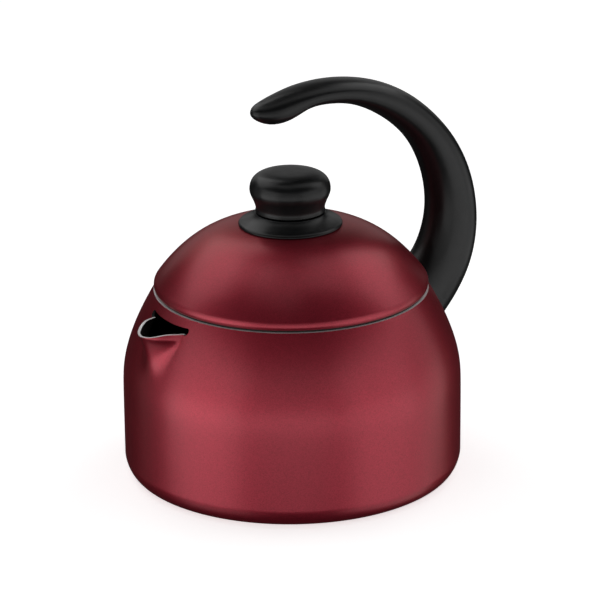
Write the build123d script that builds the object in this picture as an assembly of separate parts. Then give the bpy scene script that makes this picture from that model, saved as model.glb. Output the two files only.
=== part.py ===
from build123d import *
from math import cos, hypot, pi, radians, sin, sqrt
import os

# Stovetop kettle with a whistle in the lid knob. Millimetres.
# Origin: centre of the face the kettle stands on. +Z up, spout towards -X, handle towards +X.

# ---- body shell: one pressed aluminium vessel -----------------------------------------
BODY_R = 88.5            # outside radius of the straight wall
FLAT_R = 83.0            # radius of the flat base
CORNER_H = 9.2           # height at which the base corner meets the wall
SHOULDER_Z = 54.2        # where the wall starts to lean in
MOUTH_Z = 98.1           # cut edge of the mouth
MOUTH_R = 71.55          # outside radius at the cut edge, for a standard 140 mm mouth
SHOULDER_POWER = 1.565   # how the shoulder curves in
CORNER_POWER = 1.165     # how square the base corner is
WALL = 1.3               # sheet thickness, measured square to the wall
BASE_T = 1.8             # thickness of the base
SEAM_GAP = 0.03          # air left between two touching curved pieces of one body

# ---- pour beak pressed out of the shoulder, with its slot -----------------------------
BEAK_FOOT_Z = 64.0       # where the beak starts to swell out of the shoulder
BEAK_LIP_Z = 88.5        # lip height at the beak's tip
BEAK_OUT = 13.3          # how far the tip stands out of the shoulder
BEAK_HALF = 15.25        # half width of the swelling at the lip
BEAK_FOOT_SHARE = 0.6    # half width at the foot of the swelling, as a share of that
BEAK_TOP_Z = 93.2        # top of the swelling before the slot is cut
BEAK_RISE = 2.0          # how quickly the swelling grows with height
SLOT_TOP_Z = 93.6        # top edge of the slot over the beak
SLOT_END_R = 2.1         # radius of the slot's round ends
SLOT_END_Y = 16.7        # centre of a round end
SLOT_END_Z = 92.8
# Lower edge of the slot, the lip, from its tip to one side: sideways place and height.
LIP = [(3.0, 88.65), (6.0, 89.05), (9.0, 89.95), (12.4, 91.0)]
# Upper edge of the slot, rising a little towards its round ends.
SLOT_TOP = [(7.0, 93.62), (11.5, 93.9), (14.4, 94.5)]

# ---- lid: one pressed aluminium dome with a rolled rim and a skirt --------------------
LID_RIM_R = 71.2         # widest radius of the rolled rim
LID_RIM_Z = 101.0
LID_ROLL = 3.0           # outside radius of the roll
LID_ROLL_END = 62.0      # degrees of roll before the skirt starts
LID_SKIRT_Z = 92.0       # bottom edge of the skirt inside the mouth
LID_T = 1.2              # sheet thickness
DOME_R = 72.03           # radius of the dome curve where it would meet the rim plane
DOME_Z = 101.2
DOME_H = 32.435
DOME_P = 0.627
DOME_Q = 1.992

# ---- knob: phenolic grip standing on a flared skirt -----------------------------------
SKIRT_R = 26.9           # rim radius of the flared skirt
SKIRT_Z = 132.55         # underside of the skirt's rim
SKIRT_TOP_Z = 138.9      # flat top of the skirt
SKIRT_TOP_R = 18.5
SKIRT_PLATE = 2.2        # thickness of the skirt's top plate
STEAM_GAP = 0.5          # ring gap between skirt and grip that lets the steam out
GRIP_WAIST_R = 17.85
GRIP_R = 20.9            # widest radius of the grip
GRIP_WIDE_Z = 151.1
GRIP_TOP_Z = 160.4
GRIP_BORE_R = 12.0       # cavity for the whistle
GRIP_BORE_TOP_Z = 154.0
KNOB_SCREW_R = 1.4
KNOB_SCREW_PITCH_R = 14.9
KNOB_SCREW_LEN = 9.0

# ---- hollow stud that carries the steam and clamps the knob ---------------------------
STUD_R = 5.0
STUD_BORE_R = 3.0
STUD_LOW_Z = 125.4
STUD_HIGH_Z = 143.4
COLLAR_R = 8.0
COLLAR_T = 1.6
GASKET_R = 10.5
GASKET_T = 1.0
WASHER_T = 1.0
NUT_AF = 17.0
NUT_T = 4.0

# ---- whistle: two pierced discs in a thin case ----------------------------------------
CASE_R = 9.6
CASE_T = 0.5
CASE_LOW_Z = 141.0
CASE_HIGH_Z = 149.4
DISC_T = 0.4
DISC_LOW_Z = 144.6
DISC_HIGH_Z = 148.2
WHISTLE_HOLE_R = 1.3

# ---- handle, its bracket and fasteners ------------------------------------------------
# Stations along the handle: distance from the kettle's axis, height, half thickness, half width.
HANDLE_STATIONS = [
    (-22.0, 194.9, 1.3, 1.8),
    (-20.7, 194.6, 2.9, 4.0),
    (-17.6, 194.2, 4.8, 6.4),
    (-12.0, 194.0, 6.5, 8.6),
    (-4.0, 195.4, 7.1, 10.0),
    (5.0, 198.2, 6.1, 10.9),
    (18.5, 199.6, 5.9, 11.5),
    (36.4, 197.6, 6.7, 11.9),
    (53.5, 191.6, 8.0, 12.0),
    (68.8, 182.3, 8.9, 12.0),
    (81.7, 170.2, 9.7, 12.0),
    (91.5, 155.8, 11.2, 12.0),
    (97.7, 140.1, 12.7, 12.1),
    (100.1, 124.4, 14.0, 12.4),
    (98.8, 109.5, 15.3, 13.0),
    (94.0, 96.1, 16.3, 13.6),
    (85.6, 84.2, 17.0, 14.2),
    (73.0, 71.5, 17.6, 14.6),
]
FOOT_SQUARE = 2.2        # roundness of the handle's section: 2 is an ellipse
BRACKET_T = 1.5
BRACKET_LOW_Z = 66.5
BRACKET_HIGH_Z = 91.5
BRACKET_HALF = 9.0
CHEEK_LOW_Z = 72.0
CHEEK_HIGH_Z = 84.5
LUG_X = 93.0             # outer face of the tapped lug
LUG_T = 2.5
HANDLE_SCREW_Z = 78.0
HANDLE_SCREW_R = 2.5
HANDLE_SCREW_HEAD_R = 4.5
HANDLE_SCREW_HEAD_T = 3.0
LOCK_WASHER_T = 1.2
NUT_DEPTH = 3.0          # weld nut behind the lug
SCREW_SEAT_X = 96.2      # bottom of the counterbore in the handle
POCKET_CLEAR = 0.25
RIVET_R = 2.5
RIVET_HEAD_R = 4.2
RIVET_HEAD_T = 1.6
RIVET_ZS = (70.9, 86.8)


def shoulder_u(z):
    return max(0.0, (z - SHOULDER_Z) / (MOUTH_Z - SHOULDER_Z))


def wall_radius(z):
    return BODY_R - (BODY_R - MOUTH_R) * shoulder_u(z) ** SHOULDER_POWER


def wall_slope(z):
    u = shoulder_u(z)
    if u == 0.0:
        return 0.0
    return -(BODY_R - MOUTH_R) * SHOULDER_POWER * u ** (SHOULDER_POWER - 1.0) / (MOUTH_Z - SHOULDER_Z)


def wall_normal(z):
    slope = wall_slope(z)
    size = hypot(1.0, slope)
    return 1.0 / size, -slope / size


def wall_point(z, out):
    nr, nz = wall_normal(z)
    return wall_radius(z) + nr * out, z + nz * out


def spin(edges):
    face = make_face(Plane.XZ * edges)
    return revolve(face, Axis.Z, 360)


def disc(radius, low, high, bore=0.0):
    solid = Pos(0, 0, (low + high) / 2) * Cylinder(radius, high - low)
    if bore > 0.0:
        solid = solid - Pos(0, 0, (low + high) / 2) * Cylinder(bore, high - low + 2)
    return solid


def corner_points(flat_r, wall_r, low, high):
    points = []
    for k in range(5):
        t = k * pi / 8
        r = flat_r + (wall_r - flat_r) * sin(t) ** CORNER_POWER
        z = low + (high - low) * (1.0 - cos(t) ** CORNER_POWER)
        points.append((r, z))
    return points


def vessel(out, base_z, top_z):
    """The vessel's solid shape, its wall moved out by a distance (in if negative)."""
    corner = corner_points(FLAT_R + out * 0.6, BODY_R + out, base_z, base_z + CORNER_H - out * 0.2)
    shoulder = [wall_point(SHOULDER_Z + (MOUTH_Z - SHOULDER_Z) * k / 8, out) for k in range(9)]
    nr, nz = wall_normal(MOUTH_Z)
    last = shoulder[-1]
    run = (top_z - last[1]) / nr
    top = (last[0] - nz * run, top_z)
    edges = Line((0, base_z), corner[0])
    edges += Spline(corner, tangents=[(1, 0), (0, 1)])
    edges += Line(corner[-1], shoulder[0])
    edges += Spline(shoulder, tangents=[(0, 1), (-nz, nr)])
    if abs(run) > 1e-6:
        edges += Line(last, top)
    edges += Line(top, (0, top_z))
    edges += Line((0, top_z), (0, base_z))
    return spin(edges)


def beak_share(z):
    return min(max((z - BEAK_FOOT_Z) / (BEAK_LIP_Z - BEAK_FOOT_Z), 0.0), 1.0)


def beak_half(z):
    return BEAK_HALF * (BEAK_FOOT_SHARE + (1.0 - BEAK_FOOT_SHARE) * beak_share(z))


def beak_front(y, z):
    """Distance in front of the axis of the beak's outside at this sideways position."""
    share = beak_share(z)
    reach = BEAK_OUT * share ** BEAK_RISE
    x = min(abs(y) / beak_half(z), 1.0)
    bell = (1.0 - x ** (2.0 - 0.22 * share)) ** (1.6 - 0.99 * share)
    return sqrt(wall_radius(z) ** 2 - y * y) + reach * bell


def beak_section(z, inset):
    half = beak_half(z)
    outline = []
    for k in range(-8, 9):
        y = half * 0.985 * k / 8
        step = 0.05
        slope = (beak_front(y + step, z) - beak_front(y - step, z)) / (2 * step)
        slope = max(-2.2, min(2.2, slope))
        size = hypot(1.0, slope)
        front = beak_front(y, z) - inset / size - 0.12
        outline.append((front, y + slope * inset / size))
    side = half + 3.5
    root = sqrt(wall_radius(z) ** 2 - side * side) - 2.2 - inset
    back = wall_radius(z) - 14.0
    points = [(root, -side)] + outline + [(root, side)]
    loop = Spline([(-p, q) for p, q in points])
    loop += Line((-root, side), (-back, side))
    loop += Line((-back, side), (-back, -side))
    loop += Line((-back, -side), (-root, -side))
    return Pos(0, 0, z) * make_face(loop)


def beak_swelling(inset):
    levels = [BEAK_FOOT_Z, 69.0, 74.0, 79.0, 83.5, 87.0, 89.5, 91.5, BEAK_TOP_Z]
    return loft([beak_section(z, inset) for z in levels])


def pour_slot():
    low_z, high_z = SLOT_END_Z - SLOT_END_R, SLOT_END_Z + SLOT_END_R
    side = LIP + [(SLOT_END_Y, low_z)]
    lip = [(-y, z) for y, z in reversed(side)] + [(0, BEAK_LIP_Z)] + side
    side = SLOT_TOP + [(SLOT_END_Y, high_z)]
    top = [(y, z) for y, z in reversed(side)] + [(0, SLOT_TOP_Z)] + [(-y, z) for y, z in side]
    outline = Spline(lip)
    outline += ThreePointArc(lip[-1], (SLOT_END_Y + SLOT_END_R, SLOT_END_Z), top[0])
    outline += Spline(top)
    outline += ThreePointArc(top[-1], (-SLOT_END_Y - SLOT_END_R, SLOT_END_Z), lip[0])
    plane = Plane(origin=(-60, 0, 0), x_dir=(0, 1, 0), z_dir=(1, 0, 0))
    return extrude(plane * make_face(outline), -45)


def wall_frame(z):
    """A plane square to the rear wall at this height, its normal pointing out of the wall."""
    nr, nz = wall_normal(z)
    return Plane(origin=(wall_radius(z), 0, z), x_dir=(0, 1, 0), z_dir=(nr, 0, nz))


def make_body_shell():
    outside = vessel(0.0, 0.0, MOUTH_Z) + beak_swelling(0.0)
    inside = vessel(-WALL, BASE_T, MOUTH_Z + 4.0) + beak_swelling(WALL)
    shell = outside - inside - pour_slot()
    for z in RIVET_ZS:
        shell = shell - wall_frame(z) * Cylinder(RIVET_R, 12)
    return shell


def dome_point(r, inward):
    """A point on the dome at this distance from the axis, moved in square to the sheet."""
    c = (r / DOME_R) ** (1.0 / DOME_P)
    rise = sqrt(1.0 - c * c) ** DOME_Q
    z = DOME_Z + DOME_H * rise
    step = 0.01
    c2 = ((r + step) / DOME_R) ** (1.0 / DOME_P)
    slope = (DOME_H * sqrt(1.0 - c2 * c2) ** DOME_Q - DOME_H * rise) / step
    size = hypot(1.0, slope)
    return r + slope / size * inward, z - inward / size


def make_lid_shell():
    centre_r = LID_RIM_R - LID_ROLL
    end = radians(LID_ROLL_END)
    half = end / 2
    inner_roll = LID_ROLL - LID_T
    skirt_r = centre_r + LID_ROLL * cos(end)
    skirt_top = LID_RIM_Z - LID_ROLL * sin(end)
    skirt_in = skirt_r - LID_T
    turn = (centre_r + LID_ROLL * cos(half), LID_RIM_Z - LID_ROLL * sin(half))
    turn_in = (centre_r + inner_roll * cos(half), LID_RIM_Z - inner_roll * sin(half))
    roll_in_end = (centre_r + inner_roll * cos(end), LID_RIM_Z - inner_roll * sin(end))
    radii = [70.0 - 6.25 * k for k in range(11)]
    outer = [(LID_RIM_R, LID_RIM_Z), (LID_RIM_R - 0.15, LID_RIM_Z + 1.2)]
    outer += [dome_point(r, 0.0) for r in radii] + [(0, DOME_Z + DOME_H)]
    inner = [(LID_RIM_R - LID_T, LID_RIM_Z), (LID_RIM_R - LID_T - 0.15, LID_RIM_Z + 0.9)]
    inner += [dome_point(r, LID_T) for r in radii] + [(0, DOME_Z + DOME_H - LID_T)]
    edges = Spline(outer)
    edges += Line((0, DOME_Z + DOME_H), (0, DOME_Z + DOME_H - LID_T))
    edges += Spline(inner)
    edges += ThreePointArc((LID_RIM_R - LID_T, LID_RIM_Z), turn_in, roll_in_end)
    edges += Line(roll_in_end, (skirt_in, skirt_top - 0.8))
    edges += Line((skirt_in, skirt_top - 0.8), (skirt_in, LID_SKIRT_Z))
    edges += Line((skirt_in, LID_SKIRT_Z), (skirt_r, LID_SKIRT_Z))
    edges += Line((skirt_r, LID_SKIRT_Z), (skirt_r, skirt_top))
    edges += ThreePointArc((skirt_r, skirt_top), turn, (LID_RIM_R, LID_RIM_Z))
    return spin(edges) - disc(STUD_R + 0.1, 120.0, 140.0)


def knob_screw_places():
    return [Rot(0, 0, 90 + 120 * k) * Pos(KNOB_SCREW_PITCH_R, 0, 0) for k in range(3)]


def make_knob_skirt():
    wall = 1.5
    seat_z = DOME_Z + DOME_H + SEAM_GAP
    plate_low = SKIRT_TOP_Z - SKIRT_PLATE
    outline = [(SKIRT_R, SKIRT_Z + 0.5), (SKIRT_R - 0.45, SKIRT_Z + 1.2), (25.0, SKIRT_Z + 1.95)]
    outline += [(23.0, SKIRT_Z + 2.85), (21.0, SKIRT_Z + 3.95), (19.4, SKIRT_Z + 5.15)]
    outline += [(SKIRT_TOP_R + 0.1, SKIRT_TOP_Z - 0.2)]
    edges = Spline(outline)
    edges += Line(outline[-1], (SKIRT_TOP_R, SKIRT_TOP_Z))
    edges += Line((SKIRT_TOP_R, SKIRT_TOP_Z), (STUD_R + 0.05, SKIRT_TOP_Z))
    edges += Line((STUD_R + 0.05, SKIRT_TOP_Z), (STUD_R + 0.05, seat_z))
    edges += Line((STUD_R + 0.05, seat_z), (9.0, seat_z))
    edges += Line((9.0, seat_z), (9.0, plate_low))
    edges += Line((9.0, plate_low), (18.6, plate_low))
    edges += Line((18.6, plate_low), (SKIRT_R - wall, SKIRT_Z + 0.6))
    edges += Line((SKIRT_R - wall, SKIRT_Z + 0.6), (SKIRT_R - wall, SKIRT_Z))
    edges += Line((SKIRT_R - wall, SKIRT_Z), (SKIRT_R, SKIRT_Z))
    edges += Line((SKIRT_R, SKIRT_Z), outline[0])
    skirt = spin(edges)
    for place in knob_screw_places():
        skirt = skirt - place * Pos(0, 0, SKIRT_TOP_Z) * Cylinder(KNOB_SCREW_R + 0.1, 10)
    return skirt


def make_knob_grip():
    low = SKIRT_TOP_Z + STEAM_GAP
    waist = [(GRIP_WAIST_R + 0.25, low + 0.5), (GRIP_WAIST_R, 141.0), (18.3, 143.6)]
    waist += [(19.3, 146.2), (20.4, 148.7), (GRIP_R, GRIP_WIDE_Z)]
    crown = []
    for k in range(1, 11):
        r = GRIP_R * (1.0 - 0.002 - (k / 10.0) ** 2 * 0.99)
        c = max(r / GRIP_R, 0.0) ** (1.0 / 0.45)
        crown.append((max(r, 0.0), GRIP_WIDE_Z + (GRIP_TOP_Z - GRIP_WIDE_Z) * sqrt(1.0 - c * c) ** 0.89))
    crown[-1] = (0, GRIP_TOP_Z)
    edges = Line((GRIP_BORE_R, low), (GRIP_WAIST_R - 0.3, low))
    edges += Line((GRIP_WAIST_R - 0.3, low), waist[0])
    edges += Spline(waist + crown)
    edges += Line((0, GRIP_TOP_Z), (0, GRIP_BORE_TOP_Z))
    edges += Line((0, GRIP_BORE_TOP_Z), (GRIP_BORE_R, GRIP_BORE_TOP_Z))
    edges += Line((GRIP_BORE_R, GRIP_BORE_TOP_Z), (GRIP_BORE_R, low))
    grip = spin(edges)
    for place in knob_screw_places():
        grip = grip + place * Pos(0, 0, low - STEAM_GAP / 2 + 0.3) * Cylinder(2.4, STEAM_GAP + 0.6)
        grip = grip - place * Pos(0, 0, low) * Cylinder(KNOB_SCREW_R, 2 * KNOB_SCREW_LEN)
    return grip


def make_knob_screws():
    screws = Part()
    head_z = SKIRT_TOP_Z - SKIRT_PLATE
    for place in knob_screw_places():
        screw = disc(KNOB_SCREW_R, head_z, head_z + KNOB_SCREW_LEN)
        screw = screw + disc(2.5, head_z - 1.7, head_z)
        screw = screw - Pos(0, 0, head_z - 1.7) * Box(3.4, 0.6, 1.4)
        screw = screw - Pos(0, 0, head_z - 1.7) * Box(0.6, 3.4, 1.4)
        screws = screws + place * screw
    return screws


def make_steam_stud():
    stud = disc(STUD_R, STUD_LOW_Z, STUD_HIGH_Z)
    stud = stud + disc(COLLAR_R, SKIRT_TOP_Z, SKIRT_TOP_Z + COLLAR_T)
    return stud - disc(STUD_BORE_R, STUD_LOW_Z - 1, STUD_HIGH_Z + 1)


def under_lid(order):
    """Heights of the stack clamped under the lid: gasket, washer, then nut."""
    top = DOME_Z + DOME_H - LID_T - 4 * SEAM_GAP
    heights = [top, top - GASKET_T, top - GASKET_T - WASHER_T, top - GASKET_T - WASHER_T - NUT_T]
    return heights[order + 1], heights[order]


def make_stud_gasket():
    low, high = under_lid(0)
    return disc(GASKET_R, low, high, STUD_R + 0.05)


def make_stud_washer():
    low, high = under_lid(1)
    return disc(GASKET_R + 0.5, low, high, STUD_R + 0.1)


def make_stud_nut():
    low, high = under_lid(2)
    hexagon = RegularPolygon(NUT_AF / 2, 6, major_radius=False)
    nut = Pos(0, 0, low) * extrude(hexagon, high - low)
    nut = nut & (Pos(0, 0, (low + high) / 2) * Cylinder(NUT_AF / 2 + 0.9, high - low))
    return nut - disc(STUD_R, low - 1, high + 1)


def make_whistle_case():
    case = disc(CASE_R, CASE_LOW_Z, CASE_HIGH_Z)
    case = case - disc(CASE_R - CASE_T, CASE_LOW_Z + CASE_T, CASE_HIGH_Z + 1)
    return case - disc(STUD_R, CASE_LOW_Z - 1, CASE_LOW_Z + 2)


def whistle_disc(low):
    rim = disc(CASE_R - CASE_T, low, low + 1.2, CASE_R - CASE_T - 0.5)
    plate = disc(CASE_R - CASE_T, low, low + DISC_T, WHISTLE_HOLE_R)
    return rim + plate


def make_whistle_lower_disc():
    return whistle_disc(DISC_LOW_Z)


def make_whistle_upper_disc():
    return whistle_disc(DISC_HIGH_Z)


def station_tangent(k):
    """Direction of the handle's centre line at a station, weighted for uneven spacing."""
    here = HANDLE_STATIONS[k]
    before = HANDLE_STATIONS[max(k - 1, 0)]
    after = HANDLE_STATIONS[min(k + 1, len(HANDLE_STATIONS) - 1)]
    back = hypot(here[0] - before[0], here[1] - before[1]) or 1.0
    ahead = hypot(after[0] - here[0], after[1] - here[1]) or 1.0
    tx = (here[0] - before[0]) / back * ahead + (after[0] - here[0]) / ahead * back
    tz = (here[1] - before[1]) / back * ahead + (after[1] - here[1]) / ahead * back
    return tx, tz


def station_outline(k):
    x, z, thick, wide = HANDLE_STATIONS[k]
    tx, tz = station_tangent(k)
    plane = Plane(origin=(x, 0, z), x_dir=(-tz, 0, tx), z_dir=(tx, 0, tz))
    points = []
    for j in range(16):
        a = j * pi / 8
        power = 2.0 / FOOT_SQUARE
        u = abs(cos(a)) ** power * thick * (1 if cos(a) >= 0 else -1)
        v = abs(sin(a)) ** power * wide * (1 if sin(a) >= 0 else -1)
        points.append((u, v))
    return plane * make_face(Spline(points, periodic=True))


def bracket_pocket():
    """Room inside the handle's foot for the bracket, a little bigger than the bracket."""
    low = CHEEK_LOW_Z - 1.0
    high = CHEEK_HIGH_Z + 1.0
    room = Pos((70 + LUG_X + POCKET_CLEAR) / 2, 0, (low + high) / 2) * Box(
        LUG_X + POCKET_CLEAR - 70, 2 * (BRACKET_HALF + POCKET_CLEAR), high - low
    )
    plate = vessel(BRACKET_T + RIVET_HEAD_T + 0.5, 0.0, MOUTH_Z)
    span = Pos(80, 0, (BRACKET_LOW_Z + BRACKET_HIGH_Z) / 2) * Box(
        60, 2 * (BRACKET_HALF + POCKET_CLEAR), BRACKET_HIGH_Z - BRACKET_LOW_Z + 2 * POCKET_CLEAR
    )
    return room + (plate & span)


def make_handle_grip():
    sections = [station_outline(k) for k in range(len(HANDLE_STATIONS))]
    grip = loft(sections)
    grip = grip - vessel(0.1, -1.0, MOUTH_Z + 2.0)
    grip = grip - bracket_pocket()
    seat = Pos(SCREW_SEAT_X + 10, 0, HANDLE_SCREW_Z) * Rot(0, 90, 0)
    through = Pos(SCREW_SEAT_X - 4, 0, HANDLE_SCREW_Z) * Rot(0, 90, 0)
    grip = grip - seat * Cylinder(HANDLE_SCREW_HEAD_R + 0.5, 20)
    return grip - through * Cylinder(HANDLE_SCREW_R + 0.3, 12)


def make_handle_bracket():
    span = Pos(80, 0, (BRACKET_LOW_Z + BRACKET_HIGH_Z) / 2) * Box(
        60, 2 * BRACKET_HALF, BRACKET_HIGH_Z - BRACKET_LOW_Z
    )
    plate = (vessel(SEAM_GAP + BRACKET_T, 0.0, MOUTH_Z) - vessel(SEAM_GAP, -1.0, MOUTH_Z + 1)) & span
    length = LUG_X - 78
    middle = (CHEEK_LOW_Z + CHEEK_HIGH_Z) / 2
    block = Pos(78 + length / 2, 0, middle) * Box(length, 2 * BRACKET_HALF, CHEEK_HIGH_Z - CHEEK_LOW_Z)
    hollow = Pos(78 + (length - LUG_T) / 2, 0, middle) * Box(
        length - LUG_T, 2 * (BRACKET_HALF - BRACKET_T), 40
    )
    cheeks = block - hollow - vessel(SEAM_GAP, -1.0, MOUTH_Z + 1)
    bracket = plate + cheeks
    bracket = bracket - Pos(LUG_X, 0, HANDLE_SCREW_Z) * Rot(0, 90, 0) * Cylinder(HANDLE_SCREW_R, 12)
    for z in RIVET_ZS:
        bracket = bracket - wall_frame(z) * Cylinder(RIVET_R, 12)
    return bracket


def make_bracket_rivets():
    rivets = Part()
    for z in RIVET_ZS:
        inner = -WALL - SEAM_GAP
        outer = SEAM_GAP + BRACKET_T + SEAM_GAP
        shank = Pos(0, 0, (inner + outer) / 2) * Cylinder(RIVET_R, outer - inner)
        tail = Pos(0, 0, outer + RIVET_HEAD_T / 2) * Cone(RIVET_HEAD_R, 3.0, RIVET_HEAD_T)
        dome = Pos(0, 0, inner - 1.0) * Cylinder(RIVET_HEAD_R + 0.6, 2.0)
        cap = fillet(dome.edges().group_by(Axis.Z)[0], 1.4)
        head = cap - vessel_clear(z)
        rivets = rivets + wall_frame(z) * (shank + tail + head)
    return rivets


def vessel_clear(z):
    """The vessel's wall in a rivet's own frame, so a rivet head beds on it without cutting in."""
    frame = wall_frame(z)
    wall = vessel(2.0, -1.0, MOUTH_Z + 1) - vessel(-WALL - 0.02, BASE_T - 0.5, MOUTH_Z + 3)
    return frame.to_local_coords(wall)


def make_handle_nut():
    low = LUG_X - LUG_T - NUT_DEPTH
    nut = Pos(low + NUT_DEPTH / 2, 0, HANDLE_SCREW_Z) * Box(NUT_DEPTH, 8.0, 7.0)
    return nut - Pos(low, 0, HANDLE_SCREW_Z) * Rot(0, 90, 0) * Cylinder(HANDLE_SCREW_R, 12)


def make_handle_screw():
    tip = LUG_X - LUG_T - NUT_DEPTH - 0.6
    seat = SCREW_SEAT_X + LOCK_WASHER_T
    shank = Pos((tip + seat) / 2, 0, HANDLE_SCREW_Z) * Rot(0, 90, 0) * Cylinder(HANDLE_SCREW_R, seat - tip)
    head = Pos(seat + HANDLE_SCREW_HEAD_T / 2, 0, HANDLE_SCREW_Z) * Rot(0, 90, 0) * Cylinder(
        HANDLE_SCREW_HEAD_R, HANDLE_SCREW_HEAD_T
    )
    head = fillet(head.edges().group_by(Axis.X)[-1], 1.0)
    screw = shank + head
    slot_x = seat + HANDLE_SCREW_HEAD_T
    screw = screw - Pos(slot_x, 0, HANDLE_SCREW_Z) * Box(3.0, 1.0, 5.4)
    return screw - Pos(slot_x, 0, HANDLE_SCREW_Z) * Box(3.0, 5.4, 1.0)


def make_handle_lock_washer():
    middle = SCREW_SEAT_X + LOCK_WASHER_T / 2
    ring = Pos(middle, 0, HANDLE_SCREW_Z) * Rot(0, 90, 0)
    washer = ring * Cylinder(HANDLE_SCREW_HEAD_R - 0.1, LOCK_WASHER_T)
    washer = washer - ring * Cylinder(HANDLE_SCREW_R + 0.1, LOCK_WASHER_T + 2)
    return washer - Pos(middle, 0, HANDLE_SCREW_Z + 4) * Rot(20, 0, 0) * Box(4, 0.8, 5)


PIECES = {
    "body_shell": make_body_shell,
    "lid_shell": make_lid_shell,
    "knob_skirt": make_knob_skirt,
    "knob_grip": make_knob_grip,
    "knob_screws": make_knob_screws,
    "steam_stud": make_steam_stud,
    "stud_gasket": make_stud_gasket,
    "stud_washer": make_stud_washer,
    "stud_nut": make_stud_nut,
    "whistle_case": make_whistle_case,
    "whistle_lower_disc": make_whistle_lower_disc,
    "whistle_upper_disc": make_whistle_upper_disc,
    "handle_grip": make_handle_grip,
    "handle_bracket": make_handle_bracket,
    "bracket_rivets": make_bracket_rivets,
    "handle_nut": make_handle_nut,
    "handle_screw": make_handle_screw,
    "handle_lock_washer": make_handle_lock_washer,
}

os.makedirs("parts", exist_ok=True)
for name, make in PIECES.items():
    export_step(make(), "parts/" + name + ".step")
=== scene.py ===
from math import asin, cos, hypot, pi, radians, sin, sqrt

import bmesh
import bpy
import numpy as np
from mathutils import Matrix, Vector


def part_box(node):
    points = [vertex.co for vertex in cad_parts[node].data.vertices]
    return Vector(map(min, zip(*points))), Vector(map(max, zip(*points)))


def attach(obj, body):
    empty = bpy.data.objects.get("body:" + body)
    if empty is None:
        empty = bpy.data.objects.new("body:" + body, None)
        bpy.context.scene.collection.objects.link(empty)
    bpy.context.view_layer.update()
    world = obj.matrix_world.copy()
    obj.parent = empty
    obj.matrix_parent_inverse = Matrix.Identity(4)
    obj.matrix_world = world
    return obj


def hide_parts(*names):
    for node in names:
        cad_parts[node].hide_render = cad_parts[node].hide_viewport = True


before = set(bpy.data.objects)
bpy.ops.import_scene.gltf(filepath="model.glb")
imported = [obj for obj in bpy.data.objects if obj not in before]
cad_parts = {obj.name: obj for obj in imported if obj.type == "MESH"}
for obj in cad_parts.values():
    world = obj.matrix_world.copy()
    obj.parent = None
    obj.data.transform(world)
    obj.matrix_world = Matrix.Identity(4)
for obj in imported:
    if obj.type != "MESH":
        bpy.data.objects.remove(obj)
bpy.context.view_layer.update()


# ---- vessel ----------------------------------------------------------------------------
# The body is one aluminium pressing: flat base, rounded corner, straight wall, and a shoulder
# that leans in to the mouth. Its pour beak is pushed out of the shoulder below a cut slot.
# Outside it has a satin metallic red coating, inside a dark non-stick one; cut edges are bare.
MM = 0.001
WALL_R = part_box("body_shell")[1].y / MM
MOUTH_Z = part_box("body_shell")[1].z / MM
MOUTH_R = 71.55
FLAT_R = 83.0
CORNER_H = 9.2
CORNER_SQUARE = 1.165
SHOULDER_Z = 54.2
SHOULDER_CURVE = 1.565
SHOULDER_BLEND = 0.18
SHEET = 1.3
BEAK_FOOT_Z = 62.0
BEAK_TIP_Z = 88.5
BEAK_OUT = 13.34
BEAK_HALF = 15.25
BEAK_FOOT_SHARE = 1.05
BEAK_RISE = 2.0
BEAK_BELL = 2.0
BEAK_BELL_DROP = 0.22
BEAK_FLANK = 2.0
BEAK_FLANK_DROP = 1.39
BEAK_FLANK_CHANGE = 2.5
BEAK_FILLET = 2.6
BEAK_LIP_FILLET = 0.25
SLOT_TOP_Z = 93.6
SLOT_TOP_RISE = 0.6
SLOT_MID_Z = 92.5
SLOT_END_Y = 16.5
SLOT_END_R = 1.75
LIP = (  # sideways place and height of the lip, from its tip to one end
    (0.0, BEAK_TIP_Z),
    (3.0, 88.65),
    (6.0, 89.05),
    (9.0, 89.95),
    (12.4, 91.0),
    (SLOT_END_Y, SLOT_MID_Z - SLOT_END_R),
)
BARE_LIP_Y = 15.6
BARE_LIP_UNDER = 0.4
BARE_MOUTH_BAND = 0.5
LEAST_TILT = 0.45
FRONT_HALF = 22.0
FRONT_STEPS = 42
ROUND_COLUMNS = 200
NARROW_R = WALL_R - 20.0
BASE_RINGS = (8.0, 20.0, 34.0, 48.0, 60.0, 70.0, 77.0, 81.0, FLAT_R)
CORNER_STEPS = 14
WALL_ROWS = 23
BEAK_ROWS = 22
BEAK_ROW_CROWDING = 1.25
TOP_ROWS = 7
LIP_STEPS = 120


def smooth_line(points):
    """A smooth curve through points, as a function of the distance along it, and its length."""
    p = np.array(points, float)
    at = np.concatenate([[0.0], np.cumsum(np.hypot(*np.diff(p[:, :2], axis=0).T))])
    gap = np.diff(at)
    size = len(p)
    system = np.eye(size)
    rhs = np.zeros_like(p)
    for k in range(1, size - 1):
        system[k, k - 1 : k + 2] = gap[k - 1], 2 * (gap[k - 1] + gap[k]), gap[k]
        rhs[k] = 6 * ((p[k + 1] - p[k]) / gap[k] - (p[k] - p[k - 1]) / gap[k - 1])
    bend = np.linalg.solve(system, rhs)

    def place(s):
        k = int(np.clip(np.searchsorted(at, s) - 1, 0, size - 2))
        a, b, h = at[k + 1] - s, s - at[k], gap[k]
        return (
            (bend[k] * a**3 + bend[k + 1] * b**3) / (6 * h)
            + (p[k] / h - bend[k] * h / 6) * a
            + (p[k + 1] / h - bend[k + 1] * h / 6) * b
        )

    return place, at[-1]


def along(points, steps):
    """Points of the smooth curve, evenly spaced."""
    place, length = smooth_line(points)
    return [place(length * k / steps) for k in range(steps + 1)]


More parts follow.
